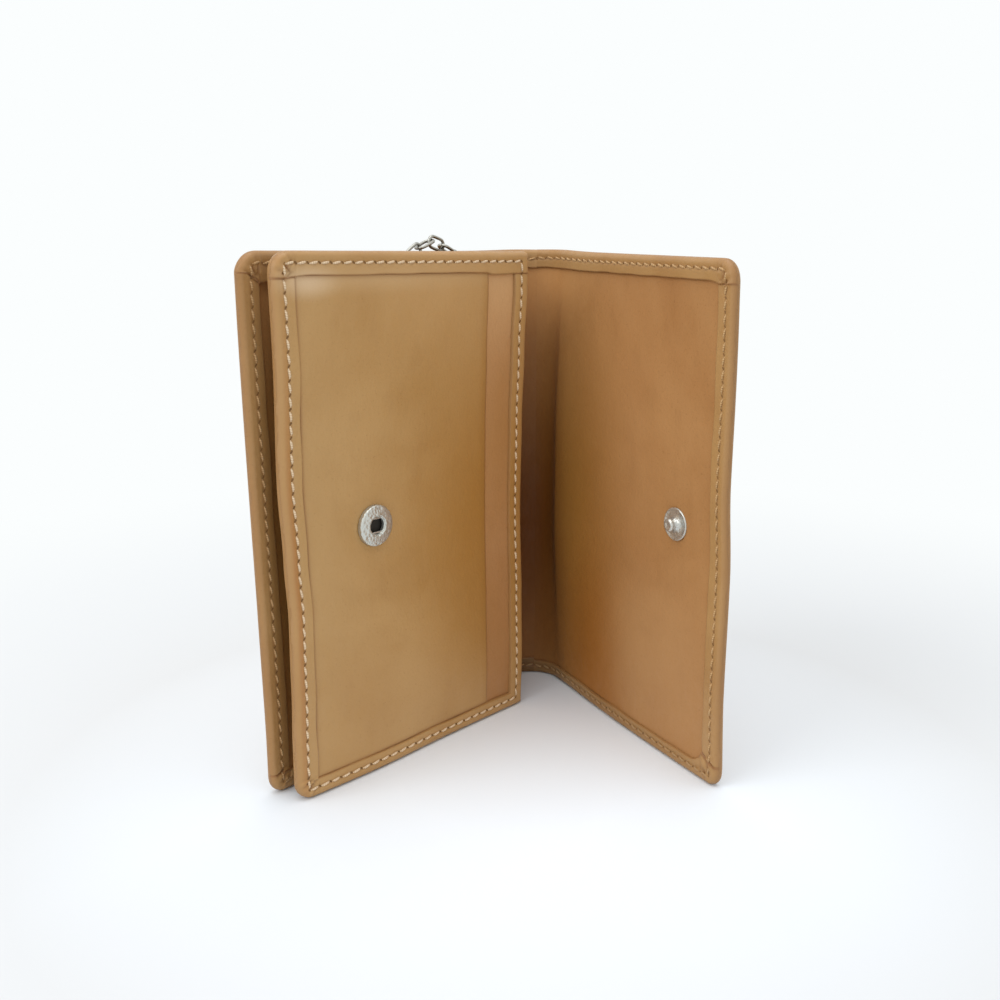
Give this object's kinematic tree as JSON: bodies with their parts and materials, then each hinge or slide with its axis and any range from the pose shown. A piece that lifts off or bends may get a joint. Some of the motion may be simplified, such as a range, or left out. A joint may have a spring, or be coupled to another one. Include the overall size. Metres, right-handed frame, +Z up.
{
  "type": "key wallet",
  "caption": "Upright leather key wallet with a folding snap flap, a card leaf hung on a gusset, and a key ring on a short chain inside",
  "frame": {"origin": "centre of the bounding box, on the plane it stands on", "axes": "+Z up along the spine, +X along the card leaf from its free edge to its hinge, +Y from the leaf to the back panel"},
  "size_m": [0.0974, 0.0806, 0.1188],
  "materials": {
    "back_cover": "semi-matte vegetable-tanned leather",
    "back_lining": "semi-matte vegetable-tanned leather",
    "card_pocket": "semi-matte vegetable-tanned leather",
    "chain_tab": "semi-matte vegetable-tanned leather",
    "end_ring": "soft nickel plate",
    "flap_cover": "semi-matte vegetable-tanned leather",
    "flap_lining": "semi-matte vegetable-tanned leather",
    "gusset_back_flange": "semi-matte vegetable-tanned leather",
    "gusset_leaf_flange": "semi-matte vegetable-tanned leather",
    "gusset_wall": "semi-matte vegetable-tanned leather",
    "key_ring": "soft nickel plate",
    "leaf_cover": "semi-matte vegetable-tanned leather",
    "link_01": "soft nickel plate",
    "link_02": "soft nickel plate",
    "link_03": "soft nickel plate",
    "link_04": "soft nickel plate",
    "link_05": "soft nickel plate",
    "link_06": "soft nickel plate",
    "link_07": "soft nickel plate",
    "link_08": "soft nickel plate",
    "link_09": "soft nickel plate",
    "link_10": "soft nickel plate",
    "link_11": "soft nickel plate",
    "pocket_back": "semi-matte vegetable-tanned leather",
    "snap_socket": "soft nickel plate",
    "snap_stud": "soft nickel plate",
    "socket_rivet": "soft nickel plate",
    "socket_spring": "soft nickel plate",
    "spine_cover": "semi-matte vegetable-tanned leather",
    "spine_lining": "semi-matte vegetable-tanned leather",
    "stud_rivet": "soft nickel plate"
  },
  "bodies": {
    "back": {"back_cover": "back_cover", "back_lining": "back_lining", "gusset_back_flange": "gusset_back_flange", "chain_tab": "chain_tab"},
    "spine": {"spine_cover": "spine_cover", "spine_lining": "spine_lining"},
    "flap": {"flap_cover": "flap_cover", "flap_lining": "flap_lining", "snap_stud": "snap_stud", "stud_rivet": "stud_rivet"},
    "gusset": {"gusset_wall": "gusset_wall"},
    "leaf": {"leaf_cover": "leaf_cover", "pocket_back": "pocket_back", "card_pocket": "card_pocket", "gusset_leaf_flange": "gusset_leaf_flange", "snap_socket": "snap_socket", "socket_spring": "socket_spring", "socket_rivet": "socket_rivet"},
    "end_ring": {"end_ring": "end_ring"},
    "chain_rise": {"link_01": "link_01", "link_02": "link_02", "link_03": "link_03", "link_04": "link_04", "link_05": "link_05", "link_06": "link_06"},
    "chain_fall": {"link_07": "link_07", "link_08": "link_08", "link_09": "link_09", "link_10": "link_10", "link_11": "link_11"},
    "key_ring": {"key_ring": "key_ring"}
  },
  "joints": [
    {"name": "spine_fold", "type": "hinge", "parent": "back", "child": "spine", "pos_m": [0.03369, 0.03866, 0], "axis": [0, 0, 1], "range_deg": [-58.77, 45.8]},
    {"name": "flap_fold", "type": "hinge", "parent": "spine", "child": "flap", "pos_m": [0.04676, 0.02667, 0], "axis": [0, 0, 1], "range_deg": [-9.12, 69.6]},
    {"name": "gusset_fold", "type": "hinge", "parent": "back", "child": "gusset", "pos_m": [0.02756, 0.03715, 0], "axis": [0, 0, 1], "range_deg": [0, 30]},
    {"name": "leaf_fold", "type": "hinge", "parent": "gusset", "child": "leaf", "pos_m": [0.02756, 0.02712, 0], "axis": [0, 0, 1], "range_deg": [0, 70]},
    {"name": "end_ring_tip", "type": "hinge", "parent": "back", "child": "end_ring", "pos_m": [0.01789, 0.03329, 0.0893], "axis": [0.992, 0.091, 0.0872], "range_deg": [-1.5, 4]},
    {"name": "chain_lean", "type": "hinge", "parent": "end_ring", "child": "chain_rise", "pos_m": [0.01685, 0.0332, 0.09866], "axis": [-0.0913, 0.9958, 0], "range_deg": [-5, 25]},
    {"name": "chain_bend", "type": "hinge", "parent": "chain_rise", "child": "chain_fall", "pos_m": [0.00414, 0.03203, 0.11736], "axis": [-0.0913, 0.9958, 0], "range_deg": [0, 40]},
    {"name": "key_ring_swing", "type": "hinge", "parent": "chain_fall", "child": "key_ring", "pos_m": [-0.00674, 0.03104, 0.10198], "axis": [-0.0913, 0.9958, 0], "range_deg": [-10, 35]}
  ]
}
